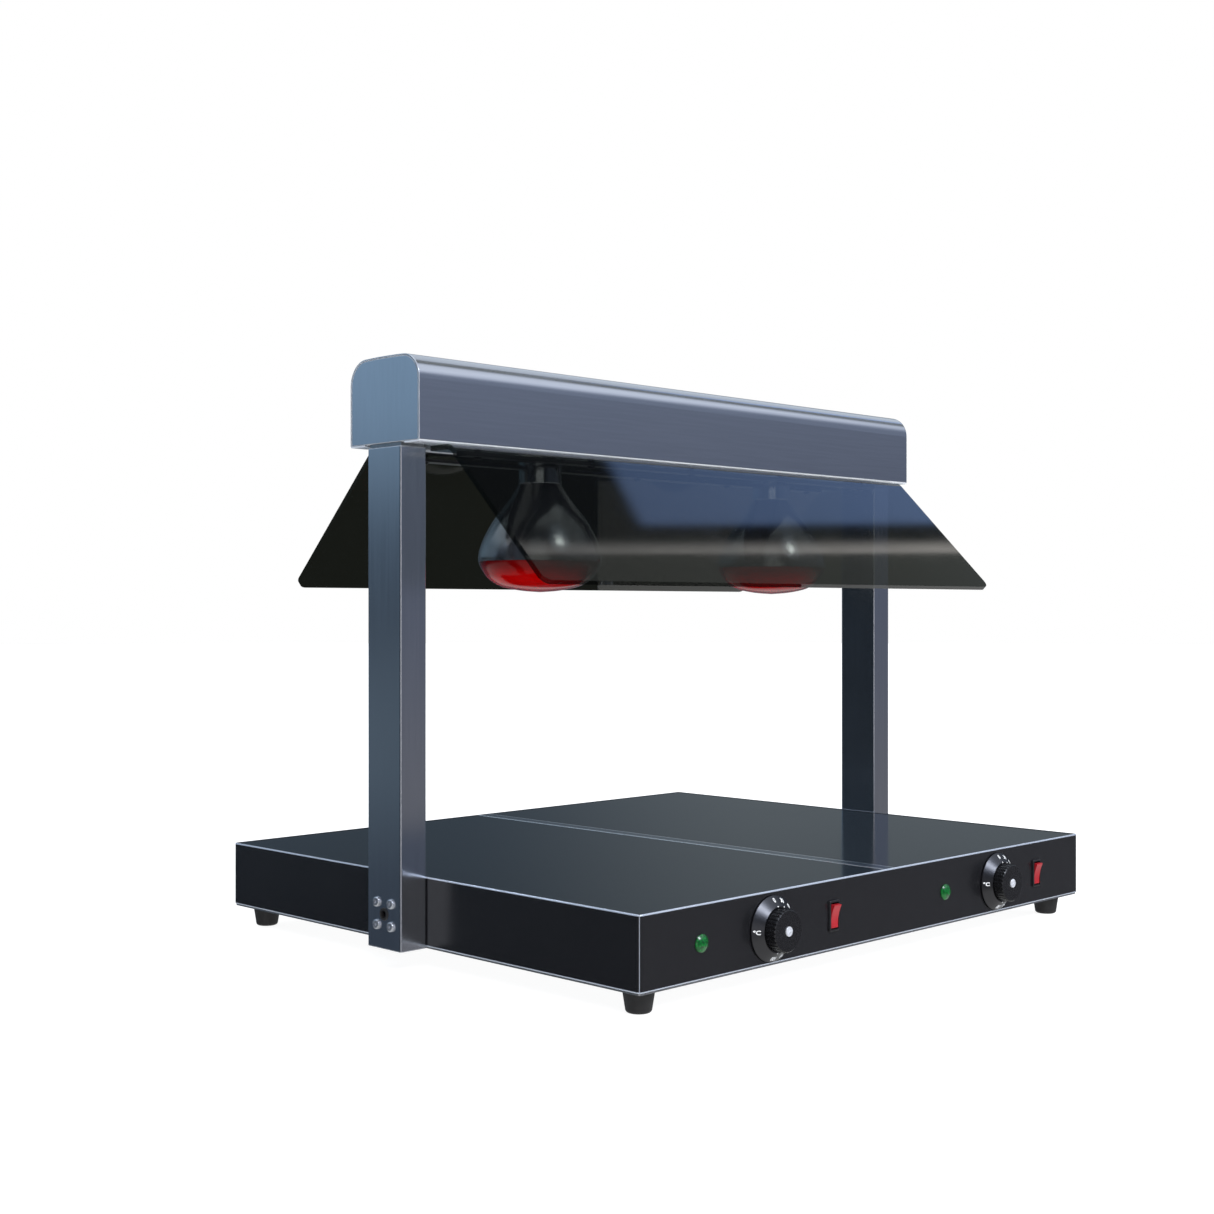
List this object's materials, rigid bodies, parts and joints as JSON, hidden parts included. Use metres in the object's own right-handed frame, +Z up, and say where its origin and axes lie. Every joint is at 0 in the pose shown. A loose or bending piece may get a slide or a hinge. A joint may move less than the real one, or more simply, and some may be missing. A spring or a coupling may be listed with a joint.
{
  "type": "heat lamp warmer",
  "caption": "Counter-top food warmer with a heated black glass base, two posts and a steel canopy that carries red infrared lamps between sloping smoked glass guards.",
  "frame": {"origin": "on the counter top, under the centre of the 700 by 600 mm base", "axes": "+X to the right along the front, -Y out of the front panel, +Z up"},
  "size_m": [0.7648, 0.7148, 0.5726],
  "materials": {
    "black_enamel": "gloss",
    "brushed_stainless": "brushed",
    "plain_steel": "satin",
    "ceramic_glass": "polished",
    "smoked_glass": "polished",
    "lamp_glass": "polished",
    "aluminium": "satin",
    "silicone": "matt",
    "mineral_wool": "matt",
    "black_rubber": "matt",
    "black_plastic": "satin",
    "dial_black": "satin",
    "red_plastic": "gloss",
    "green_lens": "gloss",
    "bright_steel": "polished",
    "brass": "satin",
    "ceramic": "matt",
    "wire_sleeve": "satin"
  },
  "bodies": {
    "root": {"base_casing": "black_enamel", "bottom_cover": "plain_steel", "plate_support_frame": "plain_steel", "plate_gaskets": "black_rubber", "hot_plate_left": "ceramic_glass", "hot_plate_right": "ceramic_glass", "divider_strip": "brushed_stainless", "heat_spreaders": "aluminium", "heating_mats": "silicone", "insulation_boards": "mineral_wool", "insulation_trays": "plain_steel", "casing_screws": "plain_steel", "rubber_feet": "black_rubber", "foot_screws": "plain_steel", "thermostats": "black_plastic", "capillary_sensors": "brass", "switch_housings": "black_plastic", "switch_terminals": "brass", "pilot_lenses": "green_lens", "pilot_bodies": "black_plastic", "post_left": "brushed_stainless", "post_right": "brushed_stainless", "post_screws": "bright_steel", "post_nut_plates": "plain_steel", "cable_eyelets": "bright_steel", "post_top_blocks": "aluminium", "post_top_screws": "plain_steel", "post_end_plugs": "black_plastic", "canopy_housing": "brushed_stainless", "canopy_end_caps": "brushed_stainless", "lamp_mounting_plate": "plain_steel", "holder_sleeves": "bright_steel", "lamp_holders": "ceramic", "holder_contacts": "brass", "glass_guard_front": "smoked_glass", "glass_guard_rear": "smoked_glass", "glass_gaskets": "black_rubber", "glass_clamp_rails": "dial_black", "glass_clamp_screws": "plain_steel", "terminal_block": "ceramic", "internal_wiring": "wire_sleeve", "cord_grip": "black_plastic", "mains_cable": "wire_sleeve", "mains_plug": "black_plastic"},
    "knob_left_body": {"knob_left": "black_plastic", "dial_skirt_left": "dial_black", "knob_screw_left": "bright_steel", "thermostat_shaft_left": "bright_steel"},
    "knob_right_body": {"knob_right": "black_plastic", "dial_skirt_right": "dial_black", "knob_screw_right": "bright_steel", "thermostat_shaft_right": "bright_steel"},
    "rocker_left_body": {"rocker_left": "red_plastic"},
    "rocker_right_body": {"rocker_right": "red_plastic"},
    "bulb_left_cap": {"bulb_cap_left": "brass"},
    "bulb_right_cap": {"bulb_cap_right": "brass"},
    "bulb_left_glass": {"bulb_glass_left": "lamp_glass", "bulb_filament_left": "plain_steel"},
    "bulb_right_glass": {"bulb_glass_right": "lamp_glass", "bulb_filament_right": "plain_steel"}
  },
  "joints": [
    {"name": "knob_left_turn", "type": "hinge", "parent": "root", "child": "knob_left_body", "pos_m": [-0.1815, -0.3, 0.0538], "axis": [0, 1, 0], "range_deg": [0, 270]},
    {"name": "knob_right_turn", "type": "hinge", "parent": "root", "child": "knob_right_body", "pos_m": [0.184, -0.3, 0.0538], "axis": [0, 1, 0], "range_deg": [0, 270]},
    {"name": "rocker_left_tilt", "type": "hinge", "parent": "root", "child": "rocker_left_body", "pos_m": [-0.092, -0.2998, 0.0538], "axis": [-1, 0, 0], "range_deg": [0, 22]},
    {"name": "rocker_right_tilt", "type": "hinge", "parent": "root", "child": "rocker_right_body", "pos_m": [0.262, -0.2998, 0.0538], "axis": [-1, 0, 0], "range_deg": [0, 22]},
    {"name": "bulb_left_travel", "type": "slide", "parent": "root", "child": "bulb_left_cap", "axis": [0, 0, -1], "range_m": [0, 0.0146]},
    {"name": "bulb_left_unscrew", "type": "hinge", "parent": "bulb_left_cap", "child": "bulb_left_glass", "pos_m": [-0.183, 0, 0.4], "axis": [0, 0, -1], "range_deg": [0, 1440]},
    {"name": "bulb_right_travel", "type": "slide", "parent": "root", "child": "bulb_right_cap", "axis": [0, 0, -1], "range_m": [0, 0.0146]},
    {"name": "bulb_right_unscrew", "type": "hinge", "parent": "bulb_right_cap", "child": "bulb_right_glass", "pos_m": [0.183, 0, 0.4], "axis": [0, 0, -1], "range_deg": [0, 1440]}
  ],
  "couplings": [
    {"joint": "bulb_left_travel", "follows": "bulb_left_unscrew", "m_per_rad": 0.00057773},
    {"joint": "bulb_right_travel", "follows": "bulb_right_unscrew", "m_per_rad": 0.00057773}
  ]
}
